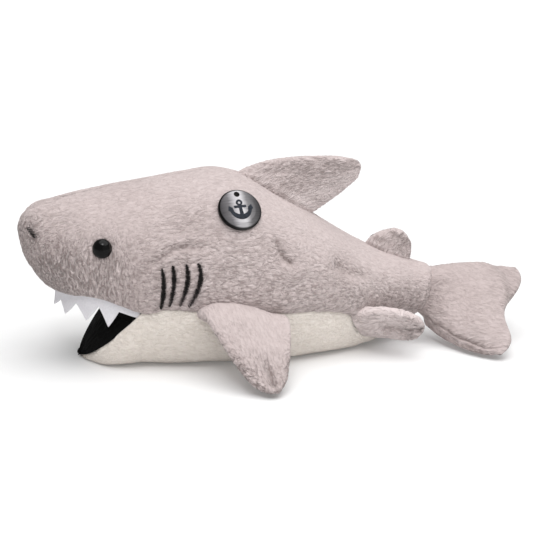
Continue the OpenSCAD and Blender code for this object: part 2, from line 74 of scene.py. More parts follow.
# x, back z, widest half width, height of the widest line, edge half width, edge z.
BODY = np.array([
    [-150, 90, 14, 74, 0, 54],
    [-141, 92.5, 18.5, 69, 0, 50],
    [-132, 94, 23, 65, 0, 43],
    [-123, 96, 27.5, 61, 16, 42],
    [-115, 97.5, 31.5, 59, 26.5, 43],
    [-106, 99, 35, 56, 32.5, 42.5],
    [-97, 100.5, 38.5, 53, 36, 39.5],
    [-86, 102, 41.5, 49, 38.5, 36],
    [-72, 104, 45, 46, 43, 38],
    [-54, 106.5, 48, 44, 46.5, 37],
    [-38, 108, 49.5, 43, 48, 36.5],
    [-22, 104, 50, 42, 48.5, 36],
    [0, 91, 49, 41, 46.5, 33.5],
    [20, 78.8, 44.5, 38, 41.5, 31],
    [34, 69.5, 39, 36, 35.5, 27],
    [48, 61, 32.5, 34, 26, 15],
    [60, 55.3, 26, 33, 13, 4.5],
    [66, 53, 23.5, 32.5, 0, 5],
    [76, 48.5, 18.5, 31.5, 0, 11],
    [88, 44.5, 13, 30.5, 0, 16.5],
], float)
BELLY = np.array([
    [-86, -1.5], [-40, -2.5], [10, -2.5], [40, -1], [52, 1.5], [66, 5], [76, 11], [88, 16.5],
], float)
ARCH = np.array([[-132, 1], [-110, 5], [-86, 1]], float)

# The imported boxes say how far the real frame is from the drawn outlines.
DRAWN_NOSE, DRAWN_HALF, DRAWN_BACK = 149.92, 50.0, 108.1
flank_low, flank_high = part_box("left_side_panel")
FIT = np.array([
    -flank_low.x / MM / DRAWN_NOSE,
    -flank_low.y / MM / DRAWN_HALF,
    flank_high.z / MM / DRAWN_BACK,
])
FIT = np.where(abs(FIT - 1) < 0.01, 1.0, FIT)


def table(T, x, k=1):
    """Smooth value of column k of table T at x."""
    x = np.asarray(x, float)
    xs, ys = T[:, 0], T[:, k]
    slope = np.empty(len(xs))
    slope[1:-1] = (ys[2:] - ys[:-2]) / (xs[2:] - xs[:-2])
    slope[0] = (ys[1] - ys[0]) / (xs[1] - xs[0])
    slope[-1] = (ys[-1] - ys[-2]) / (xs[-1] - xs[-2])
    i = np.clip(np.searchsorted(xs, x, side="right") - 1, 0, len(xs) - 2)
    h = xs[i + 1] - xs[i]
    t = np.clip((x - xs[i]) / h, 0, 1)
    return (
        (2 * t**3 - 3 * t**2 + 1) * ys[i]
        + (t**3 - 2 * t**2 + t) * h * slope[i]
        + (3 * t**2 - 2 * t**3) * ys[i + 1]
        + (t**3 - t**2) * h * slope[i + 1]
    )


def nose_cap(x):
    """0 at the nose's tip, rising to 1 where its rounding ends."""
    return np.sqrt(np.clip(1 - np.clip((nose_x + nose_r - x) / nose_r, 0, 1) ** 2, 0, 1))


def capped_z(x, k):
    """Height from a column of BODY, drawn in to the nose's tip."""
    return nose_z + (table(BODY, x, k) - nose_z) * nose_cap(x)


def back_z(x):
    return capped_z(x, 1)


def flank_y(x):
    return table(BODY, x, 2) * nose_cap(x)


def flank_z(x):
    return capped_z(x, 3)


def edge_y(x):
    return np.clip(table(BODY, x, 4), 0, None) * nose_cap(x)


def edge_z(x):
    return capped_z(x, 5)


def warp(P):
    """Bends the tail stock to the left and leans its end back."""
    x, z = P[..., 0], P[..., 2]
    out = P.copy()
    out[..., 0] += stock_lean * (np.clip(x - lean_from, 0, None) / (stock_x - lean_from)) ** 2 * (z - stock_z)
    out[..., 1] -= tail_bend * (np.clip(x - bend_from, 0, None) / bend_run) ** 2
    return out


def unit(v):
    return v / np.maximum(np.linalg.norm(v, axis=-1, keepdims=True), 1e-9)


def mix(a, b, t):
    return a + (b - a) * t


def ramp(x, a, b):
    """0 before a, 1 after b, smooth between."""
    t = np.clip((x - a) / (b - a), 0, 1)
    return t * t * (3 - 2 * t)


def bell(x, width):
    """1 at 0, falling off smoothly on both sides."""
    return np.exp(-((x / width) ** 2))


def bezier(P, t):
    P = np.asarray(P, float)
    t = np.asarray(t, float)[..., None]
    return (1 - t) ** 3 * P[0] + 3 * t * (1 - t) ** 2 * P[1] + 3 * t**2 * (1 - t) * P[2] + t**3 * P[3]


def flank_half(x, z):
    """The flank's half width at x and z, on the cloth's outside."""
    fz, bz, fy, ez, ey = flank_z(x), back_z(x), flank_y(x), edge_z(x), edge_y(x)
    up = np.clip((z - fz) / (bz - fz), 0, 1)
    down = np.clip((fz - z) / (fz - ez), 0, 1)
    return np.where(
        z >= fz,
        fy * (1 - up**back_round) ** (1 / back_round),
        ey + (fy - ey) * np.sqrt(1 - down**2),
    )


def on_flank(x, z, side):
    """Points of the cloth's outside at x and z. side is -1 for the left and 1 for the right."""
    x, z = np.asarray(x, float), np.asarray(z, float)
    return np.stack([x, side * flank_half(x, z), z], -1)


def flank_normal(x, z, side):
    e = 1.0
    a = on_flank(x + e, z, side) - on_flank(x - e, z, side)
    b = on_flank(x, z + e, side) - on_flank(x, z - e, side)
    n = unit(np.cross(a, b))
    return n * np.sign(n[..., 1:2]) * side


# ---------- noise ----------


def lattice(i, j, seed):
    """A repeatable random number from 0 to 1 at each whole point."""
    n = (i.astype(np.int64) * 374761393 + j.astype(np.int64) * 668265263 + seed * 974634777) & 0xFFFFFFFF
    n = ((n ^ (n >> 13)) * 1274126177) & 0xFFFFFFFF
    n = ((n ^ (n >> 15)) * 2246822519) & 0xFFFFFFFF
    return ((n ^ (n >> 16)) & 0xFFFFFF) / float(0xFFFFFF)


def noise(s, t, seed):
    """Smooth noise from -1 to 1 with a wavelength of about 2."""
    i, j = np.floor(s), np.floor(t)
    a, b = s - i, t - j
    a, b = a * a * (3 - 2 * a), b * b * (3 - 2 * b)
    low = mix(lattice(i, j, seed), lattice(i + 1, j, seed), a)
    high = mix(lattice(i, j + 1, seed), lattice(i + 1, j + 1, seed), a)
    return mix(low, high, b) * 2 - 1


def locks(s, t, seed, length, width):
    """Overlapping locks of pile, combed along +s. Returns their height and a random number per lock."""
    step_s, step_t = length * 0.42, width * 0.62
    ci, cj = np.floor(s / step_s), np.floor(t / step_t)
    best, tone = np.zeros_like(s), np.zeros_like(s)
    for di in (-2, -1, 0, 1):
        for dj in (-1, 0, 1):
            i, j = ci + di, cj + dj
            cs = (i + 0.5 + 0.9 * (lattice(i, j, seed) - 0.5)) * step_s + length * 0.2
            ct = (j + 0.5 + 0.9 * (lattice(i, j, seed + 1) - 0.5)) * step_t
            lift = 0.55 + 0.45 * lattice(i, j, seed + 2)
            turn = (lattice(i, j, seed + 3) - 0.5) * 0.7
            ds, dt = (s - cs) / (length / 2), (t - ct)
            dt = (dt - turn * (s - cs)) / (width / 2 * (1.1 - 0.45 * np.clip(ds, 0, 1)))
            along = np.clip((ds + 1) / 2, 0, 1) ** 0.8 * (1 - ramp(ds, 0.62, 1.0))
            h = lift * along * np.clip(1 - dt * dt, 0, 1) ** 0.7
            tone = np.where(h > best, lattice(i, j, seed + 4), tone)
            best = np.maximum(best, h)
    return best, tone


def swirled(s, t, seed, gain=1.0):
    """Combing that wanders from place to place."""
    swirl = 2.0 * noise(s / 11, t / 11, seed + 20) + 0.8 * noise(s / 4, t / 4, seed + 21)
    sway = 2.8 * noise(s / 11, t / 9, seed + 22) + 1.0 * noise(s / 4, t / 3.2, seed + 23)
    return s + gain * swirl, t + gain * sway


def pile_field(s, t, seed):
    """Height of short combed plush, from 0 to about 1, and a random tone per lock."""
    s, t = swirled(s, t, seed)
    big, tone = locks(s, t, seed, 4.6, 1.9)
    small, _ = locks(s, t, seed + 7, 2.9, 1.3)
    fine = noise(s / 1.3, t / 0.5, seed + 30)
    clump = noise(s / 5, t / 4, seed + 31)
    height = np.clip(0.30 * big + 0.50 * small + 0.16 * fine + 0.03 * clump, 0, 1.2)
    return height, tone


# ---------- grids to meshes ----------


def normals(P):
    """Unit normals of a grid of points, along rows x columns."""
    return unit(np.cross(np.gradient(P, axis=0), np.gradient(P, axis=1)))


def arc(P, axis):
    """Arc length along one axis of a grid."""
    d = np.linalg.norm(np.diff(P, axis=axis), axis=-1)
    zero = np.zeros_like(np.take(d, [0], axis=axis))
    return np.concatenate([zero, np.cumsum(d, axis=axis)], axis=axis)


def section_grid(x, y, z):
    """A grid of points from an x for each row, and a y and z for each row or point."""
    shape = np.broadcast_shapes(x[:, None].shape, y.shape, z.shape)
    return np.stack([np.broadcast_to(v, shape) for v in (x[:, None], y, z)], -1)


def resample(P, count):
    """Each row of points respaced evenly by arc length."""
    out = np.empty((P.shape[0], count, 3))
    length = arc(P, 1)
    even = np.linspace(0, 1, count)
    for i in range(P.shape[0]):
        for k in range(3):
            out[i, :, k] = np.interp(even * length[i, -1], length[i], P[i, :, k])
    return out


def new_object(name, data):
    """An object in the scene around a mesh, light or camera."""
    ob = bpy.data.objects.new(name, data)
    bpy.context.scene.collection.objects.link(ob)
    return ob


def face_mesh(name, verts, faces, smooth=False):
    """An object from corner points in metres and faces of any number of corners."""
    mesh = bpy.data.meshes.new(name)
    mesh.from_pydata(verts, [], faces)
    mesh.polygons.foreach_set("use_smooth", np.full(len(faces), smooth))
    return new_object(name, mesh)


def grid_mesh(name, P, attributes=None, flip=False):
    """An object whose quads join a grid of points in mm."""
    rows, cols = P.shape[:2]
    ids = np.arange(rows * cols).reshape(rows, cols)
    quads = np.stack([ids[:-1, :-1], ids[1:, :-1], ids[1:, 1:], ids[:-1, 1:]], -1).reshape(-1, 4)
    if flip:
        quads = quads[:, ::-1]
    mesh = bpy.data.meshes.new(name)
    mesh.vertices.add(rows * cols)
    mesh.vertices.foreach_set("co", (P * FIT * MM).astype(np.float32).ravel())
    mesh.loops.add(quads.size)
    mesh.loops.foreach_set("vertex_index", quads.astype(np.int32).ravel())
    mesh.polygons.add(len(quads))
    mesh.polygons.foreach_set("loop_start", np.arange(0, quads.size, 4, dtype=np.int32))
    mesh.polygons.foreach_set("use_smooth", np.ones(len(quads), bool))
    mesh.update(calc_edges=True)
    for key, values in (attributes or {}).items():
        values = np.asarray(values, np.float32)
        kind, field = ("FLOAT_VECTOR", "vector") if values.ndim == 3 else ("FLOAT", "value")
        mesh.attributes.new(key, kind, "POINT").data.foreach_set(field, values.ravel())
    return new_object(name, mesh)


def grow_pile(
    P, s, t, seed, outward, height=0.95, lean=0.7, mask=1.0, rough=1.0, upright=0.0, nap=None, painted_shading=0.0,
):
    """Raises pile on a grid. outward is 1 or -1, the side that the grid's normals leave by.

    Returns the points, and what the plush material reads: pile height, tone with painted light and shade,
    combing, raggedness and how far the ripples stand upright.
    """
    h, tone = pile_field(s, t, seed)
    h = h * mask
    if nap is None:
        nap = np.stack([s, t, np.full_like(s, seed * 0.37)], -1)
    ws, wt = swirled(s, t, seed, 0.45)
    nap = nap + np.stack([ws - s, 0.5 * (wt - t), wt - t], -1)
    n = normals(P) * outward
    way = unit(np.gradient(P, axis=0))
    # The pile lies smooth where it faces up, and stands ragged lower down, where its colour gets painted
    # shade.
    ragged_and_shaded = rough * (1 - 0.62 * ramp(n[..., 2], 0.1, 0.8))
    rise = h * (0.7 + 0.5 * ragged_and_shaded)
    points = P + n * (rise * height)[..., None] + way * (rise * lean)[..., None]
    # The colour level carries painted shade where the pile is ragged, that is rough or facing down, and the
    # painted light or shade passed in.
    tone = 0.05 * tone - 0.22 * ragged_and_shaded + painted_shading
    return points, {"pile": h, "tone": tone, "nap": nap, "rough": ragged_and_shaded + 0 * h, "upright": upright + 0 * h}


# ---------- materials ----------


class Graph:
    """The shader nodes of a material or of the world."""

    def __init__(self, owner):
        owner.use_nodes = True
        self.owner = owner
        self.nodes, self.links = owner.node_tree.nodes, owner.node_tree.links

    def set(self, node, inputs):
        """Sockets by name or number: an output is linked, and a number, vector or colour is set."""
        for key, value in inputs.items():
            socket = node.inputs[key]
            if isinstance(value, bpy.types.NodeSocket):
                self.links.new(value, socket)
            elif socket.type == "RGBA":
                socket.default_value = (*value, 1)
            else:
                socket.default_value = value

    def node(self, kind, inputs=(), **settings):
        node = self.nodes.new("ShaderNode" + kind)
        for key, value in settings.items():
            setattr(node, key, value)
        self.set(node, dict(inputs))
        return node

    def math(self, operation, *values, clamp=False):
        return self.node("Math", enumerate(values), operation=operation, use_clamp=clamp).outputs[0]

    def vector(self, operation, *values, output="Value"):
        return self.node("VectorMath", enumerate(values), operation=operation).outputs[output]

    def attribute(self, name, output="Fac"):
        return self.node("Attribute", attribute_name=name).outputs[output]

    def noise(self, vector, scale, detail, roughness=0.5, distortion=0.0):
        inputs = {"Vector": vector, "Scale": scale, "Detail": detail}
        inputs.update({"Roughness": roughness, "Distortion": distortion})
        return self.node("TexNoise", inputs).outputs["Fac"]

    def coords(self, output="Object"):
        return self.node("TexCoord").outputs[output]

    def grain(self, scale, detail, stretch=(1, 1, 1), roughness=0.55):
        """Noise in the object's own coordinates."""
        mapped = self.node("Mapping", {"Vector": self.coords(), "Scale": stretch}).outputs["Vector"]
        return self.noise(mapped, scale, detail, roughness)

    def ramp(self, value, stops):
        """A colour that goes through the stops as the value goes from 0 to 1."""
        node = self.nodes.new("ShaderNodeValToRGB")
        elements = node.color_ramp.elements
        for i, (position, colour) in ((0, stops[0]), (1, stops[-1])):
            elements[i].position, elements[i].color = position, (*colour, 1)
        for position, colour in stops[1:-1]:
            elements.new(position).color = (*colour, 1)
        self.links.new(value, node.inputs["Fac"])
        return node.outputs["Color"]

    def product(self, colour, other):
        node = self.node("Mix", {0: 1.0, 6: colour, 7: other}, data_type="RGBA", blend_type="MULTIPLY")
        return node.outputs[2]

    def bump(self, shader, height, strength, distance):
        node = self.node("Bump", {"Height": height, "Strength": strength, "Distance": distance})
        self.links.new(node.outputs["Normal"], shader.inputs["Normal"])


def new_material(name):
    g = Graph(bpy.data.materials.new(name))
    return g, g.nodes["Principled BSDF"]


def ripples(g, nap, scale):
    """Short uneven ripples of pile: 0 in the partings, 1 on the tips."""
    scaled = g.vector("MULTIPLY", nap, scale, output="Vector")
    return g.math("MULTIPLY_ADD", g.noise(scaled, 1.0, 2.5, 0.6, 0.6), 3.2, -1.1, clamp=True)


# What the level of a plush material's colour is made of, from 0, its root colour, to 1, its tip colour.
RIPPLE_MIDDLE, LEVEL_MIDDLE, PILE_SHARE, FIBRE_SHARE, FIBRE_OFFSET = 0.52, 0.60, 0.14, 0.2, 0.07


def plush(name, root, mid, tip, contrast):
    """Short pile: dark in the partings, pale at its tips, uneven from lock to lock. The dark partings are
    partly the fibres' own darker roots and partly painted shade, stronger where the pile is rough.
    """
    g, shader = new_material(name)
    nap, rough = g.attribute("nap", "Vector"), g.attribute("rough")
    level_way = ripples(g, nap, (0.30, 0.72, 0.72))
    upright_way = ripples(g, nap, (0.76, 0.76, 0.30))
    turned = g.math("SUBTRACT", upright_way, level_way)
    height = g.math("MULTIPLY_ADD", turned, g.attribute("upright"), level_way)
    fibre = g.grain(1100, 3, (0.4, 1, 1))
    level = g.math("SUBTRACT", height, RIPPLE_MIDDLE)
    level = g.math("MULTIPLY_ADD", level, g.math("MULTIPLY", rough, contrast), LEVEL_MIDDLE)
    level = g.math("MULTIPLY_ADD", g.attribute("pile"), PILE_SHARE, level)
    # tone brings each lock's random tone and the painted light and shade from the skins.
    level = g.math("ADD", g.attribute("tone"), level)
    level = g.math("MULTIPLY_ADD", fibre, FIBRE_SHARE, level)
    level = g.math("SUBTRACT", level, FIBRE_OFFSET)
    colours = g.ramp(level, [(0.0, root), (0.5, mid), (1.0, tip)])
    patches = g.ramp(g.grain(38, 3), [(0.3, (0.965, 0.96, 0.96)), (0.7, (1.0, 1.0, 1.0))])
    g.set(shader, {
        "Base Color": g.product(colours, patches), "Roughness": 0.95, "Specular IOR Level": 0.12,
        "Sheen Weight": 0.3, "Sheen Roughness": 0.45, "Sheen Tint": (1.0, 0.97, 0.95),
    })
    relief = g.math("MULTIPLY_ADD", fibre, 0.25, g.math("MULTIPLY", height, rough))
    g.bump(shader, relief, min(1.0, 0.4 + contrast), 0.0009)
    return g.owner


def woven(name, dark, light, scale, roughness=0.9, sheen=0.2, specular=0.15):
    """Felt or brushed knit: fine fibres in all directions."""
    g, shader = new_material(name)
    fibres = g.grain(scale, 6, roughness=0.7)
    g.set(shader, {
        "Base Color": g.ramp(fibres, [(0.3, dark), (0.7, light)]), "Roughness": roughness,
        "Specular IOR Level": specular, "Sheen Weight": sheen,
    })
    g.bump(shader, fibres, 0.6, 0.0003)
    return g.owner


# How many radii of an eye, and radii and widths of the badge, are taken to make a metre.
EYE_RADII, BADGE_RADII, BADGE_WIDTHS = 180.0, 79.0, 40.0
# Height of a line inside the body, in metres, that flat pieces face away from.
CORE_HEIGHT = 0.04


def mesh_frame(node):
    """Of a round flat CAD piece: its points, their middle, and its face, level and up directions."""
    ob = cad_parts[node]
    co = np.empty(len(ob.data.vertices) * 3)
    ob.data.vertices.foreach_get("co", co)
    co = co.reshape(-1, 3)
    middle = (co.min(0) + co.max(0)) / 2
    face = np.linalg.svd(co - co.mean(0), full_matrices=False)[2][2]
    inside = np.array([middle[0], 0, CORE_HEIGHT])
    face = face * np.sign(face @ (middle - inside))
    level = unit(np.cross([0, 0, 1.0], face))
    return co, middle, face, level, np.cross(face, level)


def glossy_eye(name, node):
    """Black plastic: a black edge, a thin paler ring and a dark brown middle."""
    g, shader = new_material(name)
    _, middle, face, _, _ = mesh_frame(node)
    offset = g.vector("SUBTRACT", g.coords(), tuple(middle), output="Vector")
    out = g.vector("DOT_PRODUCT", offset, tuple(face))
    span = g.vector("LENGTH", offset)
    flat = g.math("SQRT", g.math("SUBTRACT", g.math("MULTIPLY", span, span), g.math("MULTIPLY", out, out)))
    radius = g.math("MULTIPLY_ADD", flat, EYE_RADII, g.math("MULTIPLY", g.grain(400, 2), 0.02))
    brown, ring, edge = (0.002, 0.0015, 0.001), (0.022, 0.018, 0.017), (0.001, 0.001, 0.001)
    stops = [(0.0, brown), (0.66, brown), (0.76, ring), (0.82, ring), (0.88, edge), (1.0, edge)]
    g.set(shader, {"Base Color": g.ramp(radius, stops), "Roughness": 0.1, "Specular IOR Level": 0.16})
    return g.owner


def brushed(name, node):
    """Steel brushed across, with a painted reflection: an upright bright band through its middle, dark sides,
    and painted shade at its rim.
    """
    g, shader = new_material(name)
    _, middle, _, level, up = mesh_frame(node)
    offset = g.vector("SUBTRACT", g.coords(), tuple(middle), output="Vector")
    across = g.vector("DOT_PRODUCT", offset, tuple(level))
    height = g.vector("DOT_PRODUCT", offset, tuple(up))
    # The noise is stretched level, and makes the edges of the painted reflection bands wander.
    stretched = {"X": g.math("MULTIPLY", across, 60.0), "Y": g.math("MULTIPLY", height, 1500.0)}
    streaks = g.noise(g.node("CombineXYZ", stretched).outputs[0], 1.0, 4.0)
    place = g.math("SUBTRACT", g.math("MULTIPLY_ADD", across, BADGE_WIDTHS, 0.5), 0.08)
    # Painted reflection: a bright band down the middle and dark sides.
    painted_reflection_bands = g.ramp(g.math("MULTIPLY_ADD", streaks, 0.16, place), [
        (0.06, (0.03, 0.028, 0.03)), (0.26, (0.09, 0.086, 0.09)), (0.40, (0.28, 0.27, 0.28)),
        (0.56, (0.36, 0.35, 0.36)), (0.70, (0.12, 0.116, 0.12)), (0.94, (0.04, 0.038, 0.04)),
    ])
    # Painted shade darkens the rim.
    edge = g.ramp(g.math("MULTIPLY", g.vector("LENGTH", offset), BADGE_RADII), [
        (0.0, (1, 1, 1)), (0.90, (1, 1, 1)), (0.95, (0.10, 0.10, 0.10)), (1.0, (0.08, 0.08, 0.08)),
    ])
    g.set(shader, {"Base Color": g.product(painted_reflection_bands, edge), "Metallic": 0.85, "Roughness": 0.36})
    g.bump(shader, streaks, 0.2, 0.0001)
    return g.owner


grey_plush = plush("grey_plush", (0.30, 0.245, 0.235), (0.54, 0.458, 0.448), (0.71, 0.62, 0.61), 0.75)
white_plush = plush("white_plush", (0.56, 0.495, 0.43), (0.80, 0.735, 0.675), (0.89, 0.84, 0.785), 0.3)
black_lining = woven(
    "black_lining", (0.001, 0.001, 0.001), (0.006, 0.0055, 0.0055), 1400, sheen=0.0, specular=0.04,
)
# The teeth are white felt; their grey-blue colour is painted shade.
tooth_felt = woven("tooth_felt", (0.60, 0.585, 0.61), (0.74, 0.725, 0.76), 1500, sheen=0.1)
thread_black = woven("thread_black", (0.003, 0.0025, 0.0025), (0.012, 0.010, 0.009), 2500, 0.7, 0.0)
washer_white = woven("washer_white", (0.62, 0.62, 0.60), (0.74, 0.74, 0.72), 300, 0.5, 0.0)
badge_metal = brushed("badge_metal", "badge_shell")
badge_dark = woven("badge_dark", (0.006, 0.008, 0.012), (0.02, 0.026, 0.04), 600, 0.35, 0.0)

# ---------- finishing a piece ----------


def dress(ob, material, body=None, replaces=()):
    """Gives a finished piece its material and the body that it rides on, and hides the CAD nodes it replaces.
    """
    ob.data.materials.clear()
    ob.data.materials.append(material)
    if body:
        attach(ob, body)
    if replaces:
        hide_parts(*replaces)
    return ob


def close_up(ob):
    """Welds the seam of a wrapped grid and caps its two ends, so that it is a solid strip."""
    bm = bmesh.new()
    bm.from_mesh(ob.data)
    bmesh.ops.remove_doubles(bm, verts=bm.verts, dist=1e-6)
    bmesh.ops.holes_fill(bm, edges=[e for e in bm.edges if e.is_boundary], sides=0)
    bm.to_mesh(ob.data)
    bm.free()


# ---------- torso skins ----------

LEFT, RIGHT = -1, 1
SIDES = ((LEFT, "left"), (RIGHT, "right"))
# Longer than a side panel's section, and than the belly's, in mm.
SIDE_GIRTH, BELLY_GIRTH = 125, 120
# How far the panel's edge is turned in along the lip, and at the seam with the white.
LIP_TURN, SEAM_TURN = 4.0, 1.6
EYE_X, EYE_Z = -106, 72
# Stuffing lumps and hollows of the flanks: x, z, radius, depth in mm, and the side.
DIMPLES = [
    (-7, 66, 6, 0.7, LEFT), (-1, 60.5, 4, 0.5, LEFT), (30, 52, 8, 1.0, LEFT),
    (-60, 80, 14, 1.0, LEFT), (6, 66, 6, 1.3, RIGHT), (-52, 76, 12, 1.1, RIGHT), (34, 50, 7, 1.2, RIGHT),
]
# The crease above the gill slits, as x and z.
CREASE = np.array([[-88, 55], [-83, 61], [-77, 66], [-69, 71], [-60, 73], [-50, 72]], float)
# Short sharp folds: side, width, depth, and a line as x and z.
FOLDS = [
    (LEFT, 1.9, 1.5, [[-9.4, 73], [-7.6, 68], [-5.4, 63.5], [-2, 61.5]]),
    (LEFT, 3.0, 1.0, [[28, 56], [36, 50], [44, 47]]),
    (RIGHT, 2.4, 1.5, [[-3, 74], [2, 68], [9, 65]]),
]
GILLS = [
    [[-74.5, 61.5], [-74, 51], [-75.6, 39.5]],
    [[-68.6, 63], [-68.4, 53], [-71, 41]],
    [[-61.3, 63.5], [-61, 54], [-65.3, 41]],
    [[-54.7, 64], [-54, 54], [-60.4, 40.5]],
]
NOSTRIL = [[-144.5, 80.6], [-142.5, 78.4], [-141.0, 76.2]]


def through(path, t):
    """A parabola through three points, at t from 0 to 1."""
    path, t = np.asarray(path, float), np.asarray(t, float)[..., None]
    return (1 - t) * (1 - 2 * t) * path[0] + 4 * t * (1 - t) * path[1] + t * (2 * t - 1) * path[2]


def distance_to(points, line):
    """Distance in the X-Z plane from each point to a polyline, and its sign (positive above)."""
    xz, line = points[..., [0, 2]], np.asarray(line, float)
    best, sign = np.full(xz.shape[:-1], 1e9), np.ones(xz.shape[:-1])
    for a, b in zip(line[:-1], line[1:]):
        d = b - a
        t = np.clip(((xz - a) @ d) / (d @ d), 0, 1)
        gap = xz - (a + t[..., None] * d)
        away = np.linalg.norm(gap, axis=-1)
        side = np.sign(d[0] * gap[..., 1] - d[1] * gap[..., 0])
        sign = np.where(away < best, side, sign)
        best = np.minimum(best, away)
    return best, sign


def body_xs():
    """Where the side skins' sections stand: closer together round the nose."""
    turn = GRID / nose_r
    nose = nose_x + nose_r * (1 - np.cos(np.arange(0.02, math.pi / 2, turn)))
    return np.concatenate([nose, np.arange(nose[-1] + GRID, skin_end_x, GRID), [skin_end_x]])


def turned_in(xs):
    """How far a side panel's edge is turned in, for each section."""
    width = np.where(xs < corner_x - 2, LIP_TURN, SEAM_TURN)
    return width[:, None] * ramp(edge_y(xs), 1, 8)[:, None]


def side_sections(xs, side):
    """Sections of a side panel from the back's centre line down to its edge, with a turned-in edge."""
    up = np.radians(np.linspace(90, 0, 110))[None]
    down = np.radians(np.linspace(0, 90, 50))[None, 1:]
    fy, fz, bz, ey, ez = (f(xs)[:, None] for f in (flank_y, flank_z, back_z, edge_y, edge_z))
    y = np.concatenate([fy * np.cos(up) ** (2 / back_round), mix(ey, fy, np.cos(down))], 1)
    z = np.concatenate([mix(fz, bz, np.sin(up) ** (2 / back_round)), mix(fz, ez, np.sin(down))], 1)
    last = np.stack([y[:, -1:], z[:, -1:]], -1)
    core = np.stack([np.zeros_like(fz), fz + 6], -1)
    steps = np.linspace(0, 1, 8)[None, 1:, None]
    tuck = last + unit(core - last) * steps * turned_in(xs)[..., None]
    y = np.concatenate([y, tuck[..., 0]], 1)
    z = np.concatenate([z, tuck[..., 1]], 1)
    return section_grid(xs, side * y, z)


def stuffed(P, s, t, outward, seed, gain=1.0):
    """Slow lumps of fibre filling under the cloth."""
    n = normals(P) * outward
    lumps = 0.65 * noise(s / 17, t / 15, seed) + 0.12 * noise(s / 7, t / 6, seed + 1)
    return P + n * (gain * lumps)[..., None]


def dents(P, side):
    """How far the dimples, crease and folds press a flank in (negative) or raise it, in mm."""
    push = np.zeros(P.shape[:-1])
    for x, z, radius, depth, where in DIMPLES:
        if where == side:
            push -= depth * np.exp(-((P[..., 0] - x) ** 2 + (P[..., 2] - z) ** 2) / radius**2)
    away, above = distance_to(P, CREASE)
    fade = ramp(P[..., 0], -92, -84) * (1 - ramp(P[..., 0], -58, -46))
    push -= 0.8 * bell(away, 1.8) * fade
    push += 0.5 * bell(away - 4.5 * above, 3.0) * fade
    for where, width, depth, line in FOLDS:
        if where == side:
            push -= depth * bell(distance_to(P, line)[0], width)
    return push


def side_skin(side, nodes, seed):
    """One grey side of the body, from the back's centre seam to its seam with the white."""
    xs = body_xs()
    P = resample(side_sections(xs, side), round(SIDE_GIRTH / GRID))
    t = arc(P, 1)
    s = xs[:, None] + 0 * t
    to_edge = t[:, -1:] - turned_in(xs) - t
    n = normals(P) * side
    push = dents(P, side)
    # Painted shade darkens the pile in the hollows.
    hollow_shade = np.clip(-push, 0, 2.0)
    for path in GILLS:
        away, _ = distance_to(P, through(path, np.linspace(0, 1, 7)))
        push -= 0.7 * bell(away, 2.2)
    # Seams: along the back, and where grey meets white. The lip has none.
    on_trunk = ramp(xs, corner_x - 1, corner_x + 3)[:, None]
    pucker = 1 + 0.5 * noise(s / 3.5, 0 * t, seed + 50)
    seam = 0.55 * bell(t, 1.6) + on_trunk * 0.5 * pucker * bell(to_edge, 2.0)
    # The stock's end is drawn in at the tail seam.
    end = 3.6 * (1 - np.sqrt(1 - np.clip((xs - skin_end_x + 5) / 5, 0, 1) ** 2))[:, None]
    P = P + n * (push - seam - end)[..., None]
    # The grey cloth laps over the white one.
    lap = on_trunk * bell(to_edge, 1.6)
    P[..., 2] -= 1.1 * lap
    P[..., 1] += side * 0.7 * lap
    P = stuffed(P, s, t, side, seed + 60, 1 - 0.8 * bell(t, 12))
    # Shorter pile at the seams, on the nose, and around the eye and the nostril.
    clear = ramp(np.hypot(P[..., 0] - EYE_X, P[..., 2] - EYE_Z), 4.2, 7.0)
    mask = (0.35 + 0.65 * ramp(to_edge, 0.0, 3.0)) * (0.45 + 0.55 * ramp(t, 0, 3)) * clear
    mask = mask * (0.3 + 0.7 * nose_cap(xs + 6)[:, None])
    mask = mask * (0.2 + 0.8 * ramp(distance_to(P, NOSTRIL)[0], 1.0, 2.6))
    forward = -P[..., 0]
    under_lip = ramp(forward, 88, 100) * (1 - ramp(P[..., 2], 58, 72))
    # Painted shade: the rougher pile under the lip and on the snout is darker, and so are the side of the
    # head and the hollows.
    P, pile = grow_pile(
        P, s + 0.2 * t, t + 0.12 * s, seed, side, mask=mask, nap=P,
        rough=1 + 0.2 * under_lip + 0.45 * ramp(forward, 106, 140),
        upright=ramp(forward, 74, 104) * ramp(t, 16, 44),
        painted_shading=-0.10 * ramp(forward, 62, 90) - 0.18 * hollow_shade,
    )
    P[..., 1] = side * np.maximum(side * P[..., 1], 0.0)
    where = dict(SIDES)[side]
    ob = grid_mesh(f"{where}_side_skin", warp(P), pile, flip=side > 0)
    dress(ob, grey_plush, "torso", nodes)


side_skin(LEFT, ["left_side_panel", "head_filling"], 100)
side_skin(RIGHT, ["right_side_panel", "body_filling"], 200)

# ---------- belly and lower jaw ----------

jaw_length, jaw_plan, rim_tip_z, jaw_crown = 32.0, 1.7, 1.5, 3.0


def jaw_half(d):
    """The jaw's half width, at d from 0 at the mouth's corners to 1 at its tip."""
    return corner_y * (1 - d**jaw_plan) ** (1 / jaw_plan)


def rim_z(d):
    """Height of the jaw's rim."""
    return mix(corner_z, rim_tip_z, d)


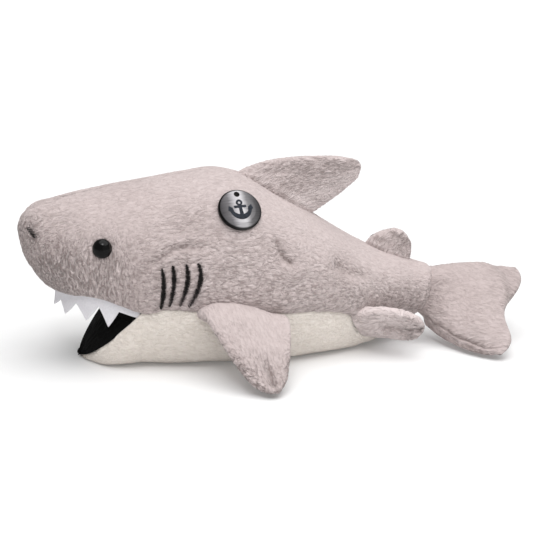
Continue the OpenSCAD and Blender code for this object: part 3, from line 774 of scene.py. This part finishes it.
def belly_skin():
    """The white cloth of belly and lower jaw, from one side's seam round to the other's."""
    d = np.sin(np.linspace(0.999, 0.0, int(44 / GRID)) * math.pi / 2)
    belly_x = np.arange(corner_x + GRID, belly_end_x, GRID)
    half = np.concatenate([jaw_half(d), edge_y(belly_x)])[:, None]
    top = np.concatenate([rim_z(d), edge_z(belly_x)])[:, None]
    low = np.concatenate([np.full(len(d), -1.5), table(BELLY, belly_x)])[:, None]
    x = np.concatenate([corner_x - jaw_length * d, belly_x])
    a = np.radians(np.concatenate([np.linspace(0, 90, 90), np.linspace(90, 0, 90)[1:]]))[None]
    way = np.concatenate([-np.ones(90), np.ones(89)])[None]
    y = way * half * np.cos(a) ** (2 / under_round)
    z = mix(top, low, np.sin(a) ** (2 / under_round))
    # The edge is turned in at the rim of the jaw and at the seam.
    steps = np.linspace(1, 0, 6)[None, :-1]
    reach = np.minimum(1.8, half * 0.6)
    y = np.concatenate([-half + steps * reach, y, half - steps[:, ::-1] * reach], 1)
    turned_z = top + 0.0 * steps
    z = np.concatenate([turned_z, z, turned_z], 1)
    cols = round(BELLY_GIRTH / GRID)
    P = resample(section_grid(x, y, np.maximum(z, 0)), cols)
    t = arc(P, 1)
    s = arc(P, 0)[:, cols // 2][:, None] + 0 * t
    outward = -1
    n = normals(P) * outward
    to_edge = np.minimum(t, t[:, -1:] - t)
    on_trunk = ramp(P[..., 0], corner_x - 2, corner_x + 3)
    pucker = 1 + 0.6 * noise(s / 4, np.sign(t - t[:, -1:] / 2), 350)
    seam = on_trunk * 0.3 * pucker * bell(to_edge - 1.8, 2.0)
    wrinkle = 0.8 * noise(s / 5, t / 30, 351) * bell(to_edge, 14) * on_trunk
    P = P + n * (wrinkle - seam)[..., None]
    at_tip = ramp(-P[..., 0], 106, 114)
    P = P - n * (0.9 * at_tip)[..., None]
    P = stuffed(P, s, t, outward, 360, 0.7 * (1 - at_tip))
    mask = (0.3 + 0.7 * ramp(to_edge, 1.0, 4.0)) * ramp(s, 0, 3) * (1 - 0.8 * at_tip)
    P, pile = grow_pile(P, -s, t, 300, outward, height=0.8, lean=-0.6, mask=mask, nap=P)
    P = warp(P)
    P[..., 2] = np.maximum(P[..., 2], 0.05)
    ob = grid_mesh("belly_and_jaw_skin", P, pile)
    dress(ob, white_plush, None, ["belly_panel", "jaw_panel", "jaw_filling"])
    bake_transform(ob)


belly_skin()

# ---------- mouth ----------


def mouth_lining():
    """One black sheet: the roof of the mouth, the fold at the corners, and the top of the jaw."""
    xs = np.arange(-131.0, corner_x - 0.6, GRID)
    half_roof = np.maximum(edge_y(xs) - 2.6 - 2.5 * ramp(xs, -95, -87), 0.6)
    roof_z = edge_z(xs) + 1.4
    arch = table(ARCH, xs) + 1.0
    d = np.linspace(0.0, 0.985, int(46 / GRID))
    # Near the tip it reaches the jaw's edge, and then it folds down over the front.
    near_tip = ramp(d, 0.22, 0.6)
    reach = 1.2 + 2.2 * (1 - ramp(d, 0, 0.15)) - 2.5 * near_tip
    fold = np.radians(np.linspace(0, 90, 8))[1:]
    tip_half, tip_z = jaw_half(d[-1]) - reach[-1], rim_z(d[-1]) + 0.5
    jaw_x = corner_x - jaw_length * d
    x = np.concatenate([xs, jaw_x, jaw_x[-1] - 1.4 * np.sin(fold)])
    half = np.concatenate([half_roof, np.maximum(jaw_half(d) - reach, 0.3), tip_half * np.cos(fold * 0.7)])
    z = np.concatenate([roof_z, rim_z(d) - 0.2 + 0.7 * near_tip, tip_z - 1.8 * (1 - np.cos(fold))])
    rise = np.concatenate([arch, jaw_crown * np.sin(math.pi * d), 0 * fold])
    u = np.linspace(-1, 1, int(76 / GRID))[None]
    y = half[:, None] * u
    smooth = section_grid(x, y, z[:, None] + rise[:, None] * (1 - u**2))
    s = arc(smooth, 0)
    ripple = 0.35 * noise(s / 3, y / 3, 410) + 0.5 * noise(s / 9, y / 9, 411)
    P = smooth + normals(smooth) * (ripple * (1 - u**4))[..., None]
    ob = grid_mesh("mouth_lining", P, flip=True)
    dress(ob, black_lining, None, ["palate_lining", "jaw_lining"])
    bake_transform(ob)


mouth_lining()

# The strips end where the lip is still this wide from its centre line.
lip_front, lip_end_y = np.linspace(-132, -126, 200), 2.2
strip_from_x, tooth_from_x = -86.6, -98.0
tooth_to_x = float(np.interp(lip_end_y, edge_y(lip_front), lip_front))
# Depth of the uncut felt at the corner and among the teeth, length of the longest tooth, the front
# tooth's share of that, and the felt's thickness, in mm.
strip_band, tooth_band, tooth_height, front_tooth, felt = 4.2, 4.3, 11.0, 0.7, 1.2
# Valleys and tips in turn, and how far down each is cut. Each strip ends on half of the small centre tooth.
TOOTH_TURNS = [0, 0.165, 0.335, 0.51, 0.69, 0.83, 0.915, 1.0]
TOOTH_DEPTHS = [0, 1, 0.04, 1, 0.04, 1, 0.16, 0.78]


def tooth_strip(side, where):
    """A strip of felt behind the lip, cut into three teeth and half of the centre one."""
    bare = np.linspace(strip_from_x, tooth_from_x, int(12 / GRID), endpoint=False)
    toothed = np.linspace(tooth_from_x, tooth_to_x, int(66 / GRID))
    x = np.concatenate([bare, toothed])
    along = np.concatenate([np.zeros(len(bare)), np.linspace(0, 1, len(toothed))])
    saw = np.interp(along, TOOTH_TURNS, TOOTH_DEPTHS)
    saw = np.where(x > tooth_from_x, 0, saw) ** 0.95
    band = mix(strip_band, tooth_band, ramp(-x, -strip_from_x, -tooth_from_x))
    drop = band + saw * tooth_height * mix(1, front_tooth, along)
    y = np.maximum(edge_y(x) - 1.9, 0.0)
    z = edge_z(x)
    rows = np.linspace(-0.35, 1, 26)[None]
    depth = drop[:, None] * rows
    middle = section_grid(x, side * y[:, None], z[:, None] - depth)
    out = unit(np.stack([np.gradient(y), -np.gradient(x)], -1))
    out = out * np.sign(out[:, 1:2] + 1e-9)
    flat = np.stack([-abs(out[:, 0]), side * abs(out[:, 1]) * ramp(y, 0.0, 5.0), 0 * x], -1)[:, None, :]
    # The teeth curl outwards, and their cut edge is rounded.
    middle = middle + flat * (0.012 * depth**2)[..., None]
    bevel = np.sqrt(np.clip(1 - np.clip((rows - 0.9) / 0.1, 0, 1) ** 2, 0.04, 1))
    half = felt / 2 * bevel[..., None]
    front, back = middle + flat * half, middle - flat * half
    P = np.concatenate([front, back[:, ::-1]], 1)
    P = np.concatenate([P, P[:, :1]], 1)
    fuzz = 0.10 * noise(P[..., 0] * 1.3 + P[..., 1], P[..., 2] * 1.3, 500 + side)
    name = f"tooth_felt_{where}"
    ob = grid_mesh(name, P + flat * fuzz[..., None], flip=side < 0)
    close_up(ob)
    dress(ob, tooth_felt, "torso", [f"tooth_strip_{where}"])
    tooth_backing(side, name, x, y, z, drop)


def tooth_backing(side, name, x, y, z, drop):
    """Black felt behind the strip near the mouth's corner, which shows past the teeth's front edges."""
    forward = -x
    least = 9.0 * (1 - ramp(forward, 100, 117))
    drop = np.maximum(np.interp(forward - 1.5, forward, drop) - 0.4 - 3.5 * ramp(forward, 108, 116), least)
    from_corner = forward + strip_from_x
    drop = np.where(from_corner < 4, np.minimum(drop, 1.5 + from_corner * 1.5), drop)
    depth = drop[:, None] * np.linspace(0, 1, 14)[None]
    inset = np.clip(y - 1.4, 0.1, None)[:, None]
    keep = (x > -117) & (x < -91)
    P = section_grid(x + 0.5, side * inset, z[:, None] - depth + 1)[keep]
    backing = grid_mesh(f"lining_{name}", P, flip=side < 0)
    dress(backing, black_lining, "torso")


for side, where in SIDES:
    tooth_strip(side, where)

# ---------- fins ----------

# What a fin has unless its own table says otherwise, in mm or as a share.
PLAIN_FIN = {
    "notch": (0, 0, 0), "rear_thin": 0, "tip_painted_shade": 0, "tip_rough": 0.5, "trail_painted_light": 0,
    "valley": 0, "crease_from": 0.6, "lobe_fold": 0, "under_bulge": 0, "seam_in": 0, "rolled": 0,
}
# Each fin's leading and trailing edge is a Bezier curve from its root to its tip.
# A fin's shade keys are painted light and shade in its colour: lighter or darker as a whole, lighter along
# its trailing part, darker at its tip.
PECTORAL = {
    **PLAIN_FIN,
    "lead": [[-55, -51, 37], [-52, -68, 40], [-41.5, -76, 10.5], [-28.5, -94.5, 4]],
    "trail": [[-7, -51, 32], [-4, -64, 36], [-9, -70, 12], [-15.5, -94.5, 4]],
    "root": 6.0, "tip": 4.2, "flare": 1.0, "rear_thin": 0.75, "rough": 1.05, "painted_shading": -0.06,
    "tip_painted_shade": -0.06, "tip_rough": 0.7, "valley": 2.3, "grid": (100, 84),
}
PELVIC = {
    **PLAIN_FIN,
    "lead": [[42, -37, 28], [52, -43, 32], [67, -46, 30], [78, -46, 22]],
    "trail": [[57, -28, 10], [62, -32, 8.5], [69, -38, 8], [76, -44, 12]],
    "root": 5.0, "tip": 4.0, "flare": 0.8, "rough": 1.4, "painted_shading": 0.42,
    "valley": 2.4, "crease_from": 0.05, "grid": (56, 50),
}
DORSAL = {
    **PLAIN_FIN,
    "lead": [[-22, 0, 105.5], [-4, 0, 114.5], [20, 0, 112.5], [47, 0, 111]],
    "trail": [[22, 0, 79.5], [31, 0, 85], [43, 0, 92.5], [52, 0, 102]],
    "root": 4.6, "tip": 3.3, "flare": 2.0, "rough": 1.3, "painted_shading": 0.02,
    "tip_rough": 0.0, "trail_painted_light": 0.80, "grid": (110, 60),
}
REAR_DORSAL = {
    **PLAIN_FIN,
    "lead": [[54, -1.5, 59.5], [58, -2, 65.5], [66, -3, 67], [73.5, -4.5, 67.5]],
    "trail": [[79, -7, 48.8], [80, -7, 52], [80.5, -6.5, 56], [79.5, -6, 61]],
    "root": 3.8, "tip": 3.4, "flare": 0.5, "rough": 1.2, "painted_shading": 0.04, "grid": (46, 50),
}
TAIL = {
    **PLAIN_FIN,
    "lead": [[92, -9.5, 43.5], [108, -8, 46], [132, -5, 43], [159.4, -6, 40]],
    "trail": [[83.5, -10.5, 18], [95, -26, 4.9], [105, -58, 3.2], [127.5, -66, 4.5]],
    "notch": (-14, 0, 0), "root": 9.6, "tip": 4.4, "flare": 0.0, "rough": 0.85, "painted_shading": -0.20,
    "trail_painted_light": 0.16, "lobe_fold": 4.0, "under_bulge": 6.0, "seam_in": 2.3, "rolled": 0.9,
    "grid": (96, 84),
}
# The grid sizes above are for this spacing.
FIN_GRID = 0.75
TIP_ROUND = 0.14


def fin_mid(F, v, c):
    """A fin's middle surface, at v from root to tip and c from its leading to its trailing edge."""
    w = v * (1 - TIP_ROUND * abs(2 * c - 1) ** 3)
    inside = np.clip(w, 0, None)
    P = mix(bezier(F["lead"], inside), bezier(F["trail"], inside), c[..., None])
    P = P + np.array(F["notch"]) * (np.sin(math.pi * c) ** 2 * inside**2)[..., None]
    # Behind the root, the fin runs on straight into the body.
    start = np.array(F["lead"][1], float) + F["trail"][1] - F["lead"][0] - F["trail"][0]
    return P + unit(start) * (np.clip(v, None, 0) * 60)[..., None]


def fin_half_skin(F, face, name, seed, mirror):
    """One cloth half of a fin. face is the side of the fin's middle surface that it lies on."""
    rows, cols = (int(n * FIN_GRID / GRID) for n in F["grid"])
    w = np.linspace(-0.12, 1, rows)
    v = np.where(w < 0, w, 1 - (1 - np.clip(w, 0, 1)) ** 1.35)[:, None]
    c = ((1 - np.cos(np.linspace(0, math.pi, cols))) / 2)[None]
    v, c = np.broadcast_arrays(v, c)
    inside = np.clip(v, 0, 1)
    e = 0.02
    mid = fin_mid(F, v, c)
    along = fin_mid(F, inside + e, c) - fin_mid(F, inside, c)
    across = fin_mid(F, v, np.clip(c + e, 0, 1)) - fin_mid(F, v, np.clip(c - e, 0, 1))
    n = unit(np.cross(along, across))

    # Half thickness of the stuffed fin.
    half = mix(F["root"], F["tip"], ramp(inside, 0, 0.55)) + F["flare"] * bell(inside, 0.10)
    bump = np.clip(1 - abs(2 * c - 1) ** 2.4, 0, 1) ** 0.5
    ends = np.sqrt(np.clip(1 - inside**8, 0, 1))
    h = half * bump * ends
    h = h * (1 - F["rear_thin"] * ramp(c, 0.35, 0.95) * (1 - ramp(inside, 0.25, 0.7)))

    s = arc(mid, 0)[:, cols // 2][:, None] + 0 * c
    s = s - s[np.argmin(abs(w))][None]
    chord = np.linalg.norm(mid[:, -1] - mid[:, 0], axis=-1)[:, None]
    t = (c - 0.5) * chord
    rim = np.minimum(np.minimum(c, 1 - c) * chord * 1.2, (1 - inside) * s.max())
    pucker = 0.7 * noise(s / 3.2 + 40, t / 3.2, seed + 3) * bell(rim, 5.0) * ramp(inside, 0.0, 0.2)
    crease = F["crease_from"]
    groove = F["valley"] * bell((c - 0.52) * chord, 3.2) * ramp(inside, crease, crease + 0.25)
    groove = groove * (1 - ramp(inside, 0.93, 1))
    lumps = 0.6 * noise(s / 9, t / 8, seed + 5)
    # The under cloth rolls up past the trailing edge, so the seam lies a little inside the rim.
    from_trail = (1 - c) * chord - F["seam_in"] - 0.5 * noise(s / 4, 0 * s, seed + 7)
    rolled = F["rolled"] * bell(from_trail, 1.0) * ramp(inside, 0.02, 0.15) * (1 - ramp(inside, 0.8, 0.95))
    h = np.maximum(h + (pucker + lumps) * bump * ends - groove - 1.1 * rolled, 0.0)
    P = mid + n * (face * h)[..., None]
    # The upper lobe lies back behind a soft fold from the upper edge to the notch.
    beyond = (inside - 0.62) * 1.3 - c * 0.95
    P = P + n * (F["lobe_fold"] * ramp(beyond, 0.0, 0.22))[..., None]
    if face > 0:
        # The under half bulges past the seam at the trailing edge.
        bulge = np.sin(math.pi * np.clip((c - 0.80) / 0.20, 0, 1)) ** 0.8
        bulge = bulge * ramp(inside, 0.0, 0.15) * (1 - ramp(inside, 0.86, 0.98))
        rim_way = unit(mid[:, -1:] - mid[:, -8:-7])
        P = P + rim_way * (F["under_bulge"] * bulge)[..., None]

    mask = (0.35 + 0.65 * ramp(rim, 0.0, 2.0)) * ramp(v, -0.1, 0.02)
    rough = F["rough"] * (0.75 + F["tip_rough"] * ramp(inside, 0.45, 0.9))
    # Painted light and shade in the colour: the fin's own offset, its lighter trailing part and darker tip,
    # and painted shade in the middle groove, the rolled seam and the lobe fold.
    painted_shading = F["painted_shading"] + F["trail_painted_light"] * ramp(c, 0.45, 0.95) + F["tip_painted_shade"] * ramp(inside, 0.6, 0.9)
    painted_shading = painted_shading - 0.12 * groove - 0.5 * rolled - 0.03 * F["lobe_fold"] * bell(beyond - 0.10, 0.09)
    P, pile = grow_pile(P, s, t, seed, face, height=1.1, lean=0.9, mask=mask, rough=rough, painted_shading=painted_shading)
    # Pile at the rim stands out over the seam.
    outward_rim = unit(mid - mid[:, cols // 2][:, None])
    tufts = 1.2 + 1.3 * noise(s / 1.1, t / 1.1, seed + 9)
    P = P + outward_rim * (pile["pile"] * tufts * bell(rim, 2.2))[..., None]
    if mirror:
        P[..., 1] *= -1
    P[..., 2] = np.maximum(P[..., 2], 0.1)
    return grid_mesh(name, P, pile, flip=(face < 0) != mirror)


PANELS = ((-1, "left_panel"), (1, "right_panel"))
TOP_UNDER = ((1, "top"), (-1, "under"))
OUTER_INNER = ((-1, "outer"), (1, "inner"))
# Stem of the names, shape, cloth halves, body, where its bend starts and ends, seed.
FINS = [
    ("pectoral_left", PECTORAL, TOP_UNDER, "pectoral_left", (-30, -50, 36), (-30, -60, 35), 600),
    ("pectoral_right", PECTORAL, TOP_UNDER, "pectoral_right", (-30, 50, 36), (-30, 60, 35), 690),
    ("pelvic_left", PELVIC, OUTER_INNER, "pelvic_left", (50, -31, 19), (56, -38, 20), 800),
    ("pelvic_right", PELVIC, OUTER_INNER, "pelvic_right", (50, 31, 19), (56, 38, 20), 890),
    ("dorsal", DORSAL, PANELS, "dorsal_fin", (0, 0, 91), (5, 0, 99), 1000),
    ("rear_dorsal", REAR_DORSAL, PANELS, "rear_dorsal_fin", (65.5, -4.2, 53), (69, -4.4, 59), 1200),
    ("tail", TAIL, PANELS, "tail_fin", (87, -10, 31), (98, -14, 29.5), 1400),
]


def sewn_fin(stem, F, halves, body, start, end, seed):
    """Both cloth halves of a fin."""
    for k, (face, cloth_name) in enumerate(halves):
        node = f"{stem}_{cloth_name}"
        ob = fin_half_skin(F, face, f"{node}_skin", seed + 40 * k, stem.endswith("right"))
        nodes = [node, f"{stem}_filling"] if k == 0 else [node]
        dress(ob, grey_plush, None, nodes)
        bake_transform(ob)


for fin in FINS:
    sewn_fin(*fin)

# ---------- embroidery ----------


def stitch(path, t, side, width, lift, thickness, rng):
    """One thread across a bar at t, as rings of points."""
    ring = np.linspace(0, 2 * math.pi, 7)[:-1]
    a, b = through(path, t - 0.02), through(path, t + 0.02)
    way = (b - a) / np.linalg.norm(b - a)
    across = np.array([-way[1], way[0]])
    taper = mix(0.55, 1.0, math.sin(math.pi * t) ** 0.5)
    half = width / 2 * taper * rng.uniform(0.74, 1.18)
    slant = rng.uniform(-0.25, 0.25)
    points, ups = [], []
    for u in np.linspace(-1, 1, 7):
        x, z = through(path, t) + across * half * u + way * slant * u
        up = flank_normal(x, z, side).reshape(3)
        points.append(on_flank(x, z, side).reshape(3) + up * (lift + 1.05 * (1 - u * u) ** 0.6))
        ups.append(up)
    points, ups = np.array(points), np.array(ups)
    sideways = np.cross(unit(np.gradient(points, axis=0)), ups)
    turn = np.cos(ring)[None, :, None] * sideways[:, None] + np.sin(ring)[None, :, None] * ups[:, None]
    return points[:, None] + thickness * turn


def satin(name, paths, side, node, seed, width=2.6, pitch=0.42, lift=0.35):
    """Satin stitch: short threads side by side across each bar."""
    rng = np.random.default_rng(seed)
    verts, faces = [], []
    for path in np.asarray(paths, float):
        count = max(6, int(np.linalg.norm(path[2] - path[0]) / pitch))
        for t in np.linspace(0, 1, count):
            tube = stitch(path, t, side, width, lift, pitch * 0.62, rng)
            rings = len(verts) + np.arange(tube.shape[0] * tube.shape[1]).reshape(tube.shape[:2])
            verts += [tuple(p * FIT * MM) for p in tube.reshape(-1, 3)]
            turned = np.roll(rings, -1, axis=1)
            faces += np.stack([rings[:-1], turned[:-1], turned[1:], rings[1:]], -1).reshape(-1, 4).tolist()
            faces += [rings[0, ::-1].tolist(), rings[-1].tolist()]
    dress(face_mesh(name, verts, faces, smooth=True), thread_black, "torso", [node])


for side, where in SIDES:
    satin(f"gill_threads_{where}", GILLS, side, f"gill_stitches_{where}", 31 + side)
    satin(f"nostril_threads_{where}", [NOSTRIL], side, f"nostril_stitch_{where}", 41 + side, 2.3, lift=0.85)

# ---------- the badge's motif ----------

# Radius of the badge's dome in mm, its fall there, and how deep and high the motif stands from the dome.
DOME_R, DOME_FALL, MOTIF_LOW, MOTIF_HIGH = 8.75, 0.3, -0.25, 0.16


def anchor_strokes():
    """Lines across the badge in mm, and the half width at each of their points."""
    arm_turn = np.radians(np.linspace(200, 340, 29))
    ring_turn = np.linspace(0, 2 * math.pi, 25)
    shank, stock = [[0, 2.6], [0, -1], [0, -5.2]], [[-3.6, 1.1], [-3.2, 1.2], [3.2, 1.2], [3.6, 1.1]]
    arms = np.stack([6.0 * np.cos(arm_turn), 1.4 + 6.6 * np.sin(arm_turn)], -1)
    ring = np.stack([1.35 * np.cos(ring_turn), 3.7 + 1.35 * np.sin(ring_turn)], -1)
    strokes = [
        (shank, [0.8, 0.95, 1.25]),
        (stock, [0.5, 0.75, 0.75, 0.5]),
        (arms, 0.75 + 0.75 * np.sin(np.linspace(0, math.pi, len(arms)))),
        (ring, np.full(len(ring), 0.55)),
    ]
    for way in (-1, 1):
        strokes.append(([[way * 6.6, 2.0], [way * 6.0, 0.2], [way * 5.0, -1.6]], [0.08, 1.5, 0.9]))
    return [(np.array(path, float), np.array(half, float)) for path, half in strokes]


def anchor():
    """A plain anchor, printed thick on the badge under its hole."""
    co, middle, face, level, up = mesh_frame("badge_shell")
    crown = ((co - middle) / MM @ face).max()
    verts, faces = [], []
    for path, half in anchor_strokes():
        way = unit(np.gradient(path, axis=0))
        side_way = np.stack([-way[:, 1], way[:, 0]], -1)
        n = len(path)
        low_a, low_b, top_a, top_b = (len(verts) + k * n for k in range(4))
        for lift in (MOTIF_LOW, MOTIF_HIGH):
            for sign in (-1, 1):
                flat = path + sign * side_way * half[:, None]
                radius = np.linalg.norm(flat, axis=1)
                dome = crown - DOME_FALL * np.clip(radius / DOME_R, 0, 1) ** 2
                points = middle / MM + flat[:, :1] * level + flat[:, 1:] * up + (dome + lift)[:, None] * face
                verts += [tuple(point * MM) for point in points]
        rails = [low_a, top_a, top_b, low_b]
        for a, b in zip(rails, rails[1:] + rails[:1]):
            faces += [[a + i, a + i + 1, b + i + 1, b + i] for i in range(n - 1)]
        faces += [rails, [rail + n - 1 for rail in rails[::-1]]]
    dress(face_mesh("badge_anchor", verts, faces), badge_dark, "badge")


anchor()

# ---------- carried-over CAD pieces ----------

CARRIED = {
    "eye_left": glossy_eye("eye_gloss_left", "eye_left"),
    "eye_right": glossy_eye("eye_gloss_right", "eye_right"),
    "eye_washer_left": washer_white, "eye_washer_right": washer_white,
    "badge_shell": badge_metal, "badge_back": badge_metal, "badge_thread": thread_black,
}
for name, material in CARRIED.items():
    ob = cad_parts[name]
    for material_slot in ob.material_slots:
        material_slot.material = material
    if not ob.material_slots:
        ob.data.materials.append(material)

# ---------- stage, light and camera ----------

# The floor lies this far under the shark, and reaches this far each way, in metres.
FLOOR_Z, FLOOR_REACH = -0.0003, 6.0


def floor_material():
    g, shader = new_material("studio_floor")
    g.set(shader, {
        "Base Color": g.ramp(g.grain(40, 2), [(0.0, (0.80, 0.80, 0.80)), (1.0, (0.83, 0.83, 0.83))]),
        "Roughness": 0.9, "Emission Color": (1, 1, 1), "Emission Strength": 0.07,
    })
    return g.owner


def far_light(name, come_from, spread, power):
    """A large softbox far away: light from one direction with soft shadows."""
    data = bpy.data.lights.new(name, "SUN")
    data.angle, data.energy = math.radians(spread), power
    new_object(name, data).rotation_euler = (-Vector(come_from)).to_track_quat("-Z", "Y").to_euler()


def studio_world(level):
    """Soft light from all round, with a white band at the horizon behind the floor's edge."""
    world = bpy.data.worlds.new("studio")
    g = Graph(world)
    height = g.node("SeparateXYZ", {"Vector": g.coords("Generated")}).outputs["Z"]
    sky = g.ramp(height, [(0.0, (1, 1, 1)), (0.09, (1, 1, 1)), (0.16, (level, level, level))])
    g.set(g.nodes["Background"], {"Color": sky, "Strength": 1.0})
    bpy.context.scene.world = world


corners = [(x * FLOOR_REACH, y * FLOOR_REACH, FLOOR_Z) for x, y in ((-1, -1), (1, -1), (1, 1), (-1, 1))]
floor = face_mesh("floor", corners, [(0, 1, 2, 3)])
floor.data.materials.append(floor_material())

far_light("key", (0.10, -0.18, 1.0), 70, 2.5)
far_light("fill", (0.3, -1.0, 0.3), 60, 0.27)
# A small lamp, whose reflection is the bright spot in the eyes.
far_light("sparkle", (-0.2, -0.58, 0.8), 9, 0.28)
studio_world(0.40)
bpy.context.scene.view_settings.view_transform = "Standard"

# The camera looks from the shark's left, a little from the front and above.
azimuth, elevation, distance, lens = math.radians(-12), math.radians(16), 0.9, 103.0
target = Vector((-0.0065, 0, 0.047))
level_way = math.cos(elevation)
away = Vector((math.sin(azimuth) * level_way, -math.cos(azimuth) * level_way, math.sin(elevation)))
camera = new_object("camera", bpy.data.cameras.new("camera"))
camera.data.lens, camera.data.sensor_width = lens, 36
camera.location = target + away * distance
camera.rotation_euler = (-away).to_track_quat("-Z", "Y").to_euler()
camera.data.clip_start, camera.data.clip_end = 0.01, 20
bpy.context.scene.camera = camera
